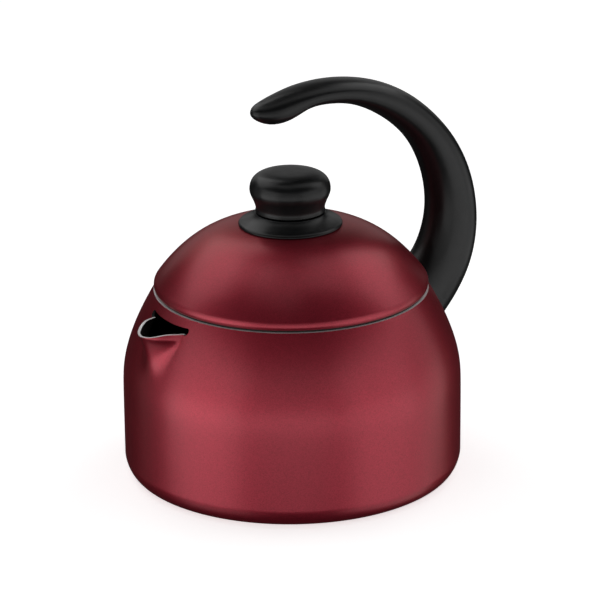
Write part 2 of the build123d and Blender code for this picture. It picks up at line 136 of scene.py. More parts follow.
def wall_radius(z):
    up = (z - SHOULDER_Z) / (MOUTH_Z - SHOULDER_Z)
    lean = (up + hypot(up, SHOULDER_BLEND)) / 2.0
    return WALL_R - (WALL_R - MOUTH_R) * lean**SHOULDER_CURVE if z > CORNER_H else WALL_R


def beak_out(y, z):
    """How far the pressed beak stands out of the shoulder."""
    rise = min((z - BEAK_FOOT_Z) / (BEAK_TIP_Z - BEAK_FOOT_Z), 1.0)
    if rise <= 0.0 or z > SLOT_MID_Z:
        return 0.0
    reach = BEAK_OUT * rise**BEAK_RISE
    half = BEAK_HALF * (BEAK_FOOT_SHARE + (1.0 - BEAK_FOOT_SHARE) * rise)
    x = min(abs(y) / half, 1.0)
    flank = BEAK_FLANK - BEAK_FLANK_DROP * rise**BEAK_FLANK_CHANGE
    bell = reach * (1.0 - x ** (BEAK_BELL - BEAK_BELL_DROP * rise)) ** flank
    soft = BEAK_LIP_FILLET + BEAK_FILLET * sin(pi * rise)
    return (hypot(bell, soft) - soft) * reach / (hypot(reach, soft) - soft)


lip_line = np.array(along([(-y, z) for y, z in LIP[:0:-1]] + list(LIP), LIP_STEPS))


def lip_z(y):
    """Height of the beak's cut lip at this sideways position."""
    if abs(y) <= SLOT_END_Y:
        return float(np.interp(y, lip_line[:, 0], lip_line[:, 1]))
    turn = min((abs(y) - SLOT_END_Y) / SLOT_END_R, 1.0)
    return SLOT_MID_Z - (SLOT_MID_Z - LIP[-1][1]) * sqrt(1.0 - turn**2)


def slot_top_z(y):
    turn = min(max((abs(y) - SLOT_END_Y) / SLOT_END_R, 0.0), 1.0)
    top = SLOT_TOP_Z + SLOT_TOP_RISE * min(abs(y) / SLOT_END_Y, 1.0) ** 3
    return SLOT_MID_Z + (top - SLOT_MID_Z) * sqrt(1.0 - turn**2)


half_front = [SLOT_END_Y * k / FRONT_STEPS for k in range(FRONT_STEPS + 1)]
half_front += [SLOT_END_Y + SLOT_END_R * sin(radians(a)) for a in (15, 30, 45, 60, 72, 82, 90)]
slot_reach = half_front[-1]
half_front += [18.8, 19.6, 20.7, FRONT_HALF]
front_columns = [-y for y in half_front[:0:-1]] + half_front
round_columns = [k / ROUND_COLUMNS for k in range(1, ROUND_COLUMNS)]


def vessel_point(column, r, z):
    """A point of the outside: front columns keep their sideways place, the others fan out."""
    if column < len(front_columns):
        y = front_columns[column] * min(1.0, r / NARROW_R)
        return (-(sqrt(r * r - y * y) + beak_out(y, z)), y, z)
    begin = asin(FRONT_HALF / max(r, NARROW_R))
    angle = begin + round_columns[column - len(front_columns)] * 2.0 * (pi - begin)
    return (-r * cos(angle), r * sin(angle), z)


base_rows = [(r, 0.0) for r in BASE_RINGS]
for step in range(1, CORNER_STEPS + 1):
    bend = step / CORNER_STEPS * pi / 2
    corner_r = FLAT_R + (WALL_R - FLAT_R) * sin(bend) ** CORNER_SQUARE
    base_rows.append((corner_r, CORNER_H * (1.0 - max(cos(bend), 0.0) ** CORNER_SQUARE)))
wall_rows = np.linspace(CORNER_H, BEAK_FOOT_Z, WALL_ROWS + 1)[1:]
base_rows += [(wall_radius(z), z) for z in wall_rows]

verts = [(0.0, 0.0, 0.0)]
columns = len(front_columns) + len(round_columns)
lower, upper = [], []
for r, z in base_rows:
    lower.append([len(verts) + c for c in range(columns)])
    verts += [vessel_point(c, r, z) for c in range(columns)]
sideways = front_columns + [FRONT_HALF + 1.0] * len(round_columns)
for k in range(1, BEAK_ROWS + 1):
    share = 1.0 - (1.0 - k / BEAK_ROWS) ** BEAK_ROW_CROWDING
    lower.append([len(verts) + c for c in range(columns)])
    for c in range(columns):
        z = BEAK_FOOT_Z + (lip_z(sideways[c]) - BEAK_FOOT_Z) * share
        verts.append(vessel_point(c, wall_radius(z), z))
row = []
for c in range(columns):
    if abs(sideways[c]) >= slot_reach - 1e-9:
        row.append(lower[-1][c])
    else:
        z = slot_top_z(sideways[c])
        y = sideways[c]
        row.append(len(verts))
        verts.append((-sqrt(wall_radius(z) ** 2 - y * y), y, z))
upper.append(row)
for k in range(1, TOP_ROWS + 1):
    upper.append([len(verts) + c for c in range(columns)])
    for c in range(columns):
        begin = slot_top_z(sideways[c])
        z = begin + (MOUTH_Z - begin) * k / TOP_ROWS
        r = wall_radius(z)
        if c < len(front_columns):
            verts.append((-sqrt(r * r - sideways[c] ** 2), sideways[c], z))
        else:
            verts.append(vessel_point(c, r, z))
faces = [(0, lower[0][(c + 1) % columns], lower[0][c]) for c in range(columns)]
for rows in (lower, upper):
    for below, above in zip(rows, rows[1:]):
        for c in range(columns):
            d = (c + 1) % columns
            faces.append((below[c], below[d], above[d], above[c]))
skin = bpy.data.meshes.new("skin")
skin.from_pydata([Vector(v) * MM for v in verts], [], faces)
grid = bmesh.new()
grid.from_mesh(skin)
bmesh.ops.recalc_face_normals(grid, faces=grid.faces)
if sum(f.normal.z * f.calc_area() for f in grid.faces if f.calc_center_median().z < 1e-5) > 0:
    bmesh.ops.reverse_faces(grid, faces=grid.faces)
grid.normal_update()
outside = list(grid.verts)
cut = {v.index for e in grid.edges if e.is_boundary for v in e.verts}
inside = {}
for v in outside:
    n = v.normal
    if v.index in cut:
        flat = Vector((n.x, n.y, 0.0))
        place = v.co - flat.normalized() * (SHEET * MM / max(flat.length, LEAST_TILT))
    else:
        place = v.co - n * (SHEET * MM)
    inside[v.index] = place
shell_faces = [([v.index for v in f.verts], 0) for f in grid.faces]
count = len(outside)
shell_faces += [([v.index + count for v in reversed(f.verts)], 1) for f in grid.faces]
rim_edges = []
for e in grid.edges:
    if e.is_boundary:
        a, b = (loop.vert.index for loop in (e.link_loops[0], e.link_loops[0].link_loop_next))
        middle = (e.verts[0].co + e.verts[1].co) / 2 / MM
        on_lip = middle.z < SLOT_MID_Z - BARE_LIP_UNDER and abs(middle.y) < BARE_LIP_Y
        bare = on_lip or middle.z > MOUTH_Z - BARE_MOUTH_BAND
        shell_faces.append(([b, a, a + count, b + count], 2 if bare else 1))
        rim_edges += [(a, b), (a + count, b + count)]
coords = [v.co.copy() for v in outside] + [inside[v.index] for v in outside]
grid.free()
bpy.data.meshes.remove(skin)


def new_piece(name, mesh):
    piece = bpy.data.objects.new(name, mesh)
    bpy.context.scene.collection.objects.link(piece)
    mesh.shade_smooth()
    return piece


def soften(piece, width, segments, weighted=True):
    """Small rounded edges, as pressing, turning or moulding leaves them."""
    edge = piece.modifiers.new("edge", "BEVEL")
    edge.width = width * MM
    edge.segments = segments
    edge.limit_method = "WEIGHT" if weighted else "ANGLE"
    edge.angle_limit = radians(48)
    edge.use_clamp_overlap = True
    even = piece.modifiers.new("even", "WEIGHTED_NORMAL")
    even.keep_sharp = True


vessel_mesh = bpy.data.meshes.new("vessel")
vessel_mesh.from_pydata(coords, [], [f for f, _ in shell_faces])
vessel_mesh.polygons.foreach_set("material_index", [m for _, m in shell_faces])
weights = vessel_mesh.attributes.new("bevel_weight_edge", "FLOAT", "EDGE")
rim = {tuple(sorted(e)) for e in rim_edges}
for e in vessel_mesh.edges:
    if tuple(sorted(e.vertices)) in rim:
        weights.data[e.index].value = 1.0
vessel = new_piece("red_vessel", vessel_mesh)
soften(vessel, 0.14, 2)


class Finish:
    """A node material laid out from a surface position in metres."""

    def __init__(self, name):
        self.material = bpy.data.materials.new(name)
        self.material.use_nodes = True
        self.tree = self.material.node_tree
        self.shader = self.tree.nodes["Principled BSDF"]
        self.place = self.tree.nodes.new("ShaderNodeTexCoord").outputs["Object"]

    def node(self, kind, **values):
        made = self.tree.nodes.new("ShaderNode" + kind)
        for key, value in values.items():
            if hasattr(made, key):
                setattr(made, key, value)
            else:
                made.inputs[key.replace("_", " ").title()].default_value = value
        return made

    def link(self, source, target):
        self.tree.links.new(source, target)

    def grain(self, scale, detail=2.0, stretch=None):
        """Fractal noise, 0 to 1, with this many cells a metre."""
        noise = self.node("TexNoise", scale=scale, detail=detail)
        where = self.place
        if stretch:
            mapping = self.node("Mapping")
            mapping.inputs["Scale"].default_value = stretch
            self.link(where, mapping.inputs["Vector"])
            where = mapping.outputs["Vector"]
        self.link(where, noise.inputs["Vector"])
        return noise.outputs["Fac"]

    def flakes(self, scale):
        """One flat random value for each small cell, like metal flakes in a coat."""
        cells = self.node("TexVoronoi", scale=scale)
        self.link(self.place, cells.inputs["Vector"])
        split = self.node("SeparateColor")
        self.link(cells.outputs["Color"], split.inputs["Color"])
        return split.outputs["Red"]

    def spread(self, value, low, high, start=0.3, end=0.7):
        """Maps a value between start and end to one between low and high."""
        scaled = self.node("MapRange")
        scaled.inputs["From Min"].default_value = start
        scaled.inputs["From Max"].default_value = end
        scaled.inputs["To Min"].default_value = low
        scaled.inputs["To Max"].default_value = high
        self.link(value, scaled.inputs["Value"])
        return scaled.outputs["Result"]

    def blend(self, share, low, high):
        """A colour between two others."""
        mix = self.node("Mix", data_type="RGBA")
        self.link(share, mix.inputs["Factor"])
        for socket, colour in ((mix.inputs[6], low), (mix.inputs[7], high)):
            socket.default_value = (*colour, 1.0)
        return mix.outputs[2]

    def relief(self, height, depth, strength):
        """A bump this many metres deep."""
        bump = self.node("Bump")
        bump.inputs["Strength"].default_value = strength
        bump.inputs["Distance"].default_value = depth
        self.link(height, bump.inputs["Height"])
        self.link(bump.outputs["Normal"], self.shader.inputs["Normal"])

    def set(self, **values):
        """Sets the shader's sockets to values, or links them to another node's output."""
        names = {"specular": "Specular IOR Level", "coat": "Coat Weight"}
        for key, value in values.items():
            socket = self.shader.inputs[names.get(key, key.replace("_", " ").title())]
            if isinstance(value, bpy.types.NodeSocket):
                self.link(value, socket)
            else:
                socket.default_value = (*value, 1.0) if isinstance(value, tuple) else value


red = Finish("satin_red_metallic")
flake = red.flakes(2600.0)
red.set(
    base_color=red.blend(
        red.spread(flake, 0.0, 1.0, 0.0, 1.0), (0.235, 0.0085, 0.021), (0.345, 0.0145, 0.034)
    ),
    roughness=red.spread(red.grain(30.0), 0.38, 0.42),
    metallic=0.86,
    specular=0.4,
    specular_tint=(0.85, 0.10, 0.17),
    coat=0.75,
    coat_roughness=0.3,
)
red.relief(flake, 0.00001, 0.5)

dark_lining = Finish("dark_nonstick_lining")
dark_lining.set(
    base_color=dark_lining.blend(
        dark_lining.grain(900.0), (0.006, 0.005, 0.005), (0.016, 0.013, 0.013)
    ),
    roughness=dark_lining.spread(dark_lining.grain(400.0), 0.5, 0.62),
)
dark_lining.relief(dark_lining.grain(700.0), 0.00002, 0.4)

cut_edge = Finish("cut_aluminium_edge")
cut_edge.set(
    base_color=cut_edge.blend(
        cut_edge.grain(1500.0, stretch=(1.0, 1.0, 6.0)), (0.86, 0.86, 0.86), (0.97, 0.97, 0.96)
    ),
    roughness=cut_edge.spread(cut_edge.grain(800.0), 0.36, 0.5),
    metallic=0.35,
)

for finish in (red, dark_lining, cut_edge):
    vessel_mesh.materials.append(finish.material)
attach(vessel, "kettle")
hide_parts("body_shell")


# ---- lid -------------------------------------------------------------------------------
# The lid is one aluminium dome with a rolled rim; its skirt drops inside the mouth.
# It is coated like the body, lined dark underneath, and pierced at the top for the steam stud; the
# turned-under end of its rim and the outside of its skirt are lined dark too, as painted shade under the
# rim.
LID_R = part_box("lid_shell")[1].x / MM
LID_TOP_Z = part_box("lid_shell")[1].z / MM
LID_FOOT_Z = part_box("lid_shell")[0].z / MM
LID_SHEET = 1.2
RIM_Z = 101.0
ROLL_R = 3.0
ROLL_TURN = radians(62.0)
DOME_R = 72.03
DOME_Z = 101.2
DOME_WIDE = 0.627
DOME_FLAT = 1.992
STUD_HOLE_R = 5.1
DOME_END_R = 64.0
DOME_STEPS = 48
RIM_STEPS = 26
ROLL_STEPS = 10
PAINTED_SHADE_ROLL_STEPS = 5
TURNS = 240


def turned(name, outline, groups=None, turns=TURNS):
    """A piece turned about the kettle's axis from a closed outline of (radius, height) in mm.
    groups gives each stretch between two outline points its material place."""
    coords, rings = [], []
    for r, z in outline:
        steps = 1 if r < 1e-6 else turns
        rings.append([len(coords) + (k if steps > 1 else 0) for k in range(turns)])
        for k in range(steps):
            angle = 2 * pi * k / turns
            coords.append(Vector((r * cos(angle), r * sin(angle), z)) * MM)
    sides, places = [], []
    for j in range(len(outline)):
        here, after = rings[j], rings[(j + 1) % len(outline)]
        if outline[j][0] < 1e-6 and outline[(j + 1) % len(outline)][0] < 1e-6:
            continue
        for k in range(turns):
            m = (k + 1) % turns
            side = [here[k], here[m], after[m], after[k]]
            sides.append(list(dict.fromkeys(side)))
            places.append(groups[j] if groups else 0)
    mesh = bpy.data.meshes.new(name)
    mesh.from_pydata(coords, [], sides)
    mesh.polygons.foreach_set("material_index", places)
    shape = bmesh.new()
    shape.from_mesh(mesh)
    bmesh.ops.recalc_face_normals(shape, faces=shape.faces)
    shape.to_mesh(mesh)
    shape.free()
    return mesh


def mark_edges(mesh, corners):
    """Gives a bevel to the rings at these (radius, height) corners of a turned piece."""
    wanted = {(round(r, 3), round(z, 3)) for r, z in corners}
    weight = mesh.attributes.new("bevel_weight_edge", "FLOAT", "EDGE")
    keys = [(round(hypot(v.co.x, v.co.y) / MM, 3), round(v.co.z / MM, 3)) for v in mesh.vertices]
    for e in mesh.edges:
        a, b = (keys[i] for i in e.vertices)
        if abs(a[0] - b[0]) < 0.002 and abs(a[1] - b[1]) < 0.002:
            if any(abs(a[0] - r) < 0.01 and abs(a[1] - z) < 0.01 for r, z in wanted):
                weight.data[e.index].value = 1.0


def dome(r, inward):
    """A point of the dome, moved in square to the sheet."""
    rise = []
    for q in (r, r + 0.01):
        c = (q / DOME_R) ** (1.0 / DOME_WIDE)
        rise.append((LID_TOP_Z - DOME_Z) * sqrt(1.0 - c * c) ** DOME_FLAT)
    slope = (rise[1] - rise[0]) / 0.01
    size = hypot(1.0, slope)
    return r + slope / size * inward, DOME_Z + rise[0] - inward / size


def lid_side(inward):
    """One face of the lid from the stud hole to the end of the rolled rim."""
    line = [dome(r, inward) for r in np.linspace(STUD_HOLE_R, DOME_END_R, DOME_STEPS)]
    rim = [dome(r, inward) for r in (DOME_END_R, 66.0, 67.5, 68.75, 69.8)]
    rim += [(LID_R - inward - 0.17, RIM_Z + 1.25), (LID_R - inward, RIM_Z)]
    line += [tuple(p) for p in along(rim, RIM_STEPS)[1:]]
    centre, size = LID_R - ROLL_R, ROLL_R - inward
    for k in range(1, ROLL_STEPS + 1):
        turn = ROLL_TURN * k / ROLL_STEPS
        line.append((centre + size * cos(turn), RIM_Z - size * sin(turn)))
    return line


top_face, under_face = lid_side(0.0), lid_side(LID_SHEET)
skirt_r = top_face[-1][0]
skirt_foot = [(skirt_r, LID_FOOT_Z), (skirt_r - LID_SHEET, LID_FOOT_Z)]
lid_outline = top_face + skirt_foot + under_face[::-1]
# The last stretches of the rolled rim's outside, where it turns under, and the skirt's outside take the
# dark lining: painted shade for the dark gap under the rim.
red_stretches = len(top_face) - PAINTED_SHADE_ROLL_STEPS
lid_groups = [0 if j < red_stretches else 1 for j in range(len(lid_outline))]
lid_groups[len(top_face)] = 2
lid_mesh = turned("lid", lid_outline, lid_groups)
mark_edges(lid_mesh, [lid_outline[0], lid_outline[-1], *skirt_foot])
for finish in (red, dark_lining, cut_edge):
    lid_mesh.materials.append(finish.material)
lid = new_piece("red_lid", lid_mesh)
soften(lid, 0.2, 2)
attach(lid, "lid")
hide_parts("lid_shell")


# ---- knob skirt ------------------------------------------------------------------------
# The flared skirt under the knob is moulded phenolic with a fine matt skin. It sits on the
# top of the dome and is clamped there by the steam stud.
SKIRT_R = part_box("knob_skirt")[1].x / MM
SKIRT_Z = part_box("knob_skirt")[0].z / MM
SKIRT_TOP_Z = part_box("knob_skirt")[1].z / MM
SKIRT_FLARE = (  # in from the rim and up from the foot
    (0.0, 0.5),
    (0.45, 1.2),
    (1.9, 1.95),
    (3.9, 2.85),
    (5.9, 3.95),
    (7.5, 5.15),
    (8.4, 6.15),
)
SKIRT_FLAT_R = 18.5
SKIRT_SEAT_R = 9.0
SKIRT_WALL = 1.5
SKIRT_PLATE = 2.2
STUD_FIT_R = 5.05
SEAT_AIR = 0.03
FLARE_STEPS = 24

phenolic = Finish("black_phenolic")
phenolic.set(
    base_color=phenolic.blend(
        phenolic.grain(600.0), (0.0024, 0.0025, 0.0027), (0.0042, 0.0044, 0.0047)
    ),
    roughness=phenolic.spread(phenolic.grain(220.0), 0.29, 0.35),
)
phenolic.set(specular=0.3)
phenolic.relief(phenolic.grain(1100.0, 3.0), 0.00003, 0.35)

skirt_outline = [(SKIRT_R - in_, SKIRT_Z + up_) for in_, up_ in SKIRT_FLARE]
skirt_outline = [tuple(p) for p in along(skirt_outline, FLARE_STEPS)] + [(SKIRT_FLAT_R, SKIRT_TOP_Z)]
skirt_corners = [
    (STUD_FIT_R, SKIRT_TOP_Z),
    (STUD_FIT_R, LID_TOP_Z + SEAT_AIR),
    (SKIRT_SEAT_R, LID_TOP_Z + SEAT_AIR),
    (SKIRT_SEAT_R, SKIRT_TOP_Z - SKIRT_PLATE),
    (SKIRT_FLAT_R + 0.1, SKIRT_TOP_Z - SKIRT_PLATE),
    (SKIRT_R - SKIRT_WALL, SKIRT_Z + 0.6),
    (SKIRT_R - SKIRT_WALL, SKIRT_Z),
    (SKIRT_R, SKIRT_Z),
]
skirt_mesh = turned("knob_flare", skirt_outline + skirt_corners)
mark_edges(skirt_mesh, [skirt_outline[-1], skirt_corners[0], *skirt_corners[-2:]])
skirt_mesh.materials.append(phenolic.material)
knob_flare = new_piece("knob_flare", skirt_mesh)
soften(knob_flare, 0.18, 2)
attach(knob_flare, "lid")
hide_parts("knob_skirt")


# ---- knob grip -------------------------------------------------------------------------
# The grip is moulded phenolic, waisted below a round head. It stands on three small feet,
# which leave the ring gap for the steam, and is hollow for the whistle.
RING_GAP = 0.5
GRIP_LOW_Z = SKIRT_TOP_Z + RING_GAP
GRIP_TOP_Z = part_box("knob_grip")[1].z / MM
GRIP_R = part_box("knob_grip")[1].y / MM
GRIP_WIDE_Z = 151.1
GRIP_WAIST = ((18.1, 139.9), (17.85, 141.0), (18.3, 143.6), (19.3, 146.2), (20.4, 148.7))
GRIP_FOOT_IN = 0.55
CROWN_ROUND = 0.45
CROWN_RISE = 0.89
CROWN_STEPS = 30
WAIST_STEPS = 60
GRIP_BORE_R = 12.0
GRIP_BORE_Z = 154.0
FOOT_RING_R = 14.9
FOOT_R = 2.4
FOOT_TALL = 0.58
FOOT_MID = 0.2

crown = []
for k in range(1, CROWN_STEPS + 1):
    bend = pi / 2 * k / CROWN_STEPS
    crown_r = GRIP_R * max(cos(bend), 0.0) ** CROWN_ROUND
    crown.append((crown_r, GRIP_WIDE_Z + (GRIP_TOP_Z - GRIP_WIDE_Z) * sin(bend) ** CROWN_RISE))
waist_line = along([*GRIP_WAIST, (GRIP_R, GRIP_WIDE_Z), crown[3]], WAIST_STEPS)
waist = [tuple(p) for p in waist_line if p[1] < GRIP_WIDE_Z]
grip_outline = [(GRIP_BORE_R, GRIP_LOW_Z), (GRIP_WAIST[0][0] - GRIP_FOOT_IN, GRIP_LOW_Z)] + waist
grip_outline += [(GRIP_R, GRIP_WIDE_Z)] + crown[:-1]
near_r = crown[-2][0]
grip_outline += [(near_r * f, GRIP_TOP_Z) for f in (0.6, 0.3)] + [(0.0, GRIP_TOP_Z)]
grip_outline += [(0.0, GRIP_BORE_Z), (GRIP_BORE_R, GRIP_BORE_Z)]
grip_mesh = turned("knob", grip_outline)
shape = bmesh.new()
shape.from_mesh(grip_mesh)
for k in range(3):
    angle = radians(90 + 120 * k)
    spot = Vector((FOOT_RING_R * cos(angle), FOOT_RING_R * sin(angle), GRIP_LOW_Z - FOOT_MID)) * MM
    bmesh.ops.create_cone(
        shape, cap_ends=True, segments=32, radius1=FOOT_R * MM, radius2=FOOT_R * MM,
        depth=FOOT_TALL * MM, matrix=Matrix.Translation(spot),
    )
shape.to_mesh(grip_mesh)
shape.free()
mark_edges(grip_mesh, grip_outline[:2])
grip_mesh.materials.append(phenolic.material)
knob = new_piece("knob", grip_mesh)
soften(knob, 0.3, 2)
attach(knob, "lid")
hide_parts("knob_grip")


# ---- stud, washer, nut and knob screws --------------------------------------------------
# A hollow stainless stud carries the steam up and clamps the knob to the lid over a silicone
# gasket. Three zinc-plated screws hold grip and skirt together from below.
steel = Finish("stainless_steel")
steel.set(
    base_color=steel.blend(
        steel.grain(900.0, stretch=(1.0, 1.0, 8.0)), (0.52, 0.52, 0.51), (0.68, 0.68, 0.67)
    ),
    roughness=steel.spread(steel.grain(1200.0, stretch=(1.0, 1.0, 10.0)), 0.22, 0.36),
)
steel.set(metallic=1.0)
steel.relief(steel.grain(1500.0, stretch=(1.0, 1.0, 10.0)), 0.00001, 0.5)

zinc = Finish("zinc_plate")
zinc.set(
    base_color=zinc.blend(zinc.grain(500.0), (0.46, 0.48, 0.5), (0.64, 0.65, 0.66)),
    roughness=zinc.spread(zinc.grain(700.0), 0.3, 0.45),
)
zinc.set(metallic=1.0)
zinc.relief(zinc.grain(900.0), 0.00001, 0.5)

silicone = Finish("grey_silicone")
silicone.set(
    base_color=silicone.blend(silicone.grain(300.0), (0.16, 0.155, 0.15), (0.21, 0.205, 0.2)),
    roughness=silicone.spread(silicone.grain(500.0), 0.55, 0.7),
)
silicone.relief(silicone.grain(800.0), 0.00001, 0.5)


def dress(finish, *nodes):
    """Gives this finish to pieces kept as they are."""
    for name in nodes:
        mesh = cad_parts[name].data
        mesh.materials.clear()
        mesh.materials.append(finish.material)


dress(steel, "steam_stud", "stud_washer", "stud_nut")
dress(zinc, "knob_screws")
dress(silicone, "stud_gasket")


# ---- whistle ---------------------------------------------------------------------------
# Two pierced discs in a thin cup inside the knob; steam sings as it passes both holes.
# The cup is pressed stainless sheet and the discs are brass.
brass = Finish("turned_brass")
brass.set(
    base_color=brass.blend(brass.grain(600.0), (0.62, 0.42, 0.14), (0.78, 0.57, 0.24)),
    roughness=brass.spread(brass.grain(900.0), 0.24, 0.38),
)
brass.set(metallic=1.0)
brass.relief(brass.grain(1200.0), 0.00001, 0.5)
dress(steel, "whistle_case")
dress(brass, "whistle_lower_disc", "whistle_upper_disc")


# ---- handle ----------------------------------------------------------------------------
# The handle is one hook of moulded black phenolic, thick at its foot and tapering to a small
# bulb at the free end. A counterbore at the back of the foot takes the fixing screw.
HANDLE_STATIONS = (  # distance from the axis, height, half thickness, half width
    (-22.25, 194.93, 0.0, 0.0),
    (-20.7, 194.6, 2.9, 4.0),
    (-17.6, 194.2, 4.8, 6.4),
    (-12.0, 194.0, 6.5, 8.6),
    (-4.0, 195.4, 7.1, 10.0),
    (5.0, 198.2, 6.1, 10.9),
    (18.5, 199.6, 5.9, 11.5),
    (36.4, 197.6, 6.7, 11.9),
    (53.5, 191.6, 8.0, 12.0),
    (68.8, 182.3, 8.9, 12.0),
    (81.7, 170.2, 9.7, 12.0),
    (91.5, 155.8, 11.2, 12.0),
    (97.7, 140.1, 12.7, 12.1),
    (100.1, 124.4, 14.0, 12.4),
    (98.8, 109.5, 15.3, 13.0),
    (94.0, 96.1, 16.3, 13.6),
    (85.6, 84.2, 17.0, 14.2),
    (73.0, 71.5, 17.6, 14.6),
)
HANDLE_ROUND = 2.2
HANDLE_SIDES = 64
FOOT_STATION = 15
NOSE_LENGTH = 5.0
NOSE_RINGS = 12
SHAFT_RINGS = 129
FOOT_RINGS = 16
HALVINGS = 30
FOOT_AIR = 0.12
SCREW_Z = 78.0
SEAT_X = 96.2
SEAT_R = 5.0
THROUGH_R = 2.8
DRILL_END_X = 125.0
SEAT_FLOOR = 3.0
DRILL_OVER = 1.0

hook, hook_length = smooth_line([(x, z, t * t, w * w) for x, z, t, w in HANDLE_STATIONS])
foot_begin = float(np.hypot(*np.diff(np.array(HANDLE_STATIONS)[: FOOT_STATION + 1, :2], axis=0).T).sum())


def hook_point(s, angle):
    """A point of the handle's skin, in mm."""
    x, z, thick, wide = hook(s)
    run = hook(min(s + 0.05, hook_length))[:2] - hook(max(s - 0.05, 0.0))[:2]
    run = run / np.hypot(*run)
    u = abs(cos(angle)) ** (2 / HANDLE_ROUND) * np.sign(cos(angle)) * sqrt(max(thick, 0.0))
    v = abs(sin(angle)) ** (2 / HANDLE_ROUND) * np.sign(sin(angle)) * sqrt(max(wide, 0.0))
    return Vector((x - run[1] * u, v, z + run[0] * u))


def foot_depth(s, angle):
    """How far outside the body's wall this point of the handle's skin is."""
    p = hook_point(s, angle)
    return hypot(p.x, p.y) - wall_radius(p.z) - FOOT_AIR


angles = [2 * pi * k / HANDLE_SIDES for k in range(HANDLE_SIDES)]
meets = []
for angle in angles:
    out_, in_ = foot_begin, hook_length
    while foot_depth(in_, angle) > 0 and in_ > foot_begin + 1:
        in_ -= 1.0
    for _ in range(HALVINGS):
        middle = (out_ + in_) / 2
        if foot_depth(middle, angle) > 0:
            out_ = middle
        else:
            in_ = middle
    meets.append(in_)
nose = [NOSE_LENGTH * (k / NOSE_RINGS) ** 2 for k in range(1, NOSE_RINGS + 1)]
shaft = list(np.linspace(NOSE_LENGTH, foot_begin, SHAFT_RINGS + 1))[1:]
coords = [hook_point(0.0, 0.0)]
rings = []
for s in nose + shaft:
    rings.append([len(coords) + k for k in range(HANDLE_SIDES)])
    coords += [hook_point(s, angle) for angle in angles]
for step in range(1, FOOT_RINGS + 1):
    rings.append([len(coords) + k for k in range(HANDLE_SIDES)])
    for angle, meet in zip(angles, meets):
        coords.append(hook_point(foot_begin + (meet - foot_begin) * step / FOOT_RINGS, angle))
foot_ring = rings[-1]
spots = [(np.arctan2(coords[i].y, coords[i].x), coords[i].z) for i in foot_ring]
mid_turn, mid_z = np.mean([a for a, _ in spots]), np.mean([z for _, z in spots])
for shrink in (0.85, 0.65, 0.45, 0.25, 0.1, 0.0):
    ring = []
    for turn, z in spots if shrink else spots[:1]:
        turn, z = mid_turn + (turn - mid_turn) * shrink, mid_z + (z - mid_z) * shrink
        r = wall_radius(z) + FOOT_AIR
        ring.append(len(coords))
        coords.append(Vector((r * cos(turn), r * sin(turn), z)))
    rings.append(ring if shrink else ring * HANDLE_SIDES)
sides = [[0, rings[0][(k + 1) % HANDLE_SIDES], rings[0][k]] for k in range(HANDLE_SIDES)]
for below, above in zip(rings, rings[1:]):
    for k in range(HANDLE_SIDES):
        m = (k + 1) % HANDLE_SIDES
        sides.append(list(dict.fromkeys([below[k], below[m], above[m], above[k]])))
handle_mesh = bpy.data.meshes.new("handle")
handle_mesh.from_pydata([c * MM for c in coords], [], sides)
shape = bmesh.new()
shape.from_mesh(handle_mesh)
bmesh.ops.recalc_face_normals(shape, faces=shape.faces)
shape.to_mesh(handle_mesh)
shape.free()
handle = new_piece("handle", handle_mesh)
for radius, begin, end in (
    (SEAT_R, SEAT_X, DRILL_END_X),
    (THROUGH_R, SEAT_X - SEAT_FLOOR, SEAT_X + DRILL_OVER),
):
    drill = bpy.data.meshes.new("drill")
    shape = bmesh.new()
    where = Matrix.Translation(Vector(((begin + end) / 2, 0.0, SCREW_Z)) * MM)
    bmesh.ops.create_cone(
        shape, cap_ends=True, segments=64, radius1=radius * MM, radius2=radius * MM,
        depth=(end - begin) * MM, matrix=where @ Matrix.Rotation(pi / 2, 4, "Y"),
    )
    shape.to_mesh(drill)
    shape.free()
    tool = bpy.data.objects.new("drill", drill)
    bpy.context.scene.collection.objects.link(tool)
    bore = handle.modifiers.new("bore", "BOOLEAN")
    bore.operation, bore.solver, bore.object = "DIFFERENCE", "EXACT", tool
    bpy.context.view_layer.update()
    cut_handle = handle.evaluated_get(bpy.context.evaluated_depsgraph_get())
    bored = bpy.data.meshes.new_from_object(cut_handle)
    handle.modifiers.clear()
    handle.data = bored
    bpy.data.objects.remove(tool)
bored.set_sharp_from_angle(angle=radians(42))
bored.materials.clear()
bored.materials.append(phenolic.material)
soften(handle, 0.35, 2, weighted=False)
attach(handle, "kettle")
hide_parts("handle_grip")


# ---- bracket and fasteners of the handle -------------------------------------------------
# A stainless bracket is riveted to the wall with two aluminium rivets, hidden inside the
# foot. A zinc-plated screw with a lock washer pulls the foot on to it.
aluminium = Finish("cold_headed_aluminium")
aluminium.set(
    base_color=aluminium.blend(aluminium.grain(500.0), (0.66, 0.66, 0.67), (0.82, 0.82, 0.83)),
    roughness=aluminium.spread(aluminium.grain(700.0), 0.32, 0.46),
)
aluminium.set(metallic=1.0)
aluminium.relief(aluminium.grain(900.0), 0.00001, 0.5)
dress(steel, "handle_bracket")
dress(aluminium, "bracket_rivets")
dress(zinc, "handle_nut", "handle_screw", "handle_lock_washer")


# ---- floor -----------------------------------------------------------------------------
# A plain pale sweep that the kettle stands on. It isn't part of the object. It glows a little
# towards the camera, and lets the light of the low soft boxes through to the kettle.
bpy.ops.mesh.primitive_plane_add(size=14.0)
floor = bpy.context.object
floor.name = "floor"
white = Finish("white_floor")
white.set(
    base_color=white.blend(white.grain(3.0), (0.93, 0.93, 0.93), (0.95, 0.95, 0.95)),
    emission_color=(1.0, 1.0, 1.0),
    emission_strength=0.62,
    roughness=0.9,
    specular=0.0,
)
floor.data.materials.append(white.material)
floor.visible_glossy = False
floor.visible_diffuse = False
floor.visible_shadow = False

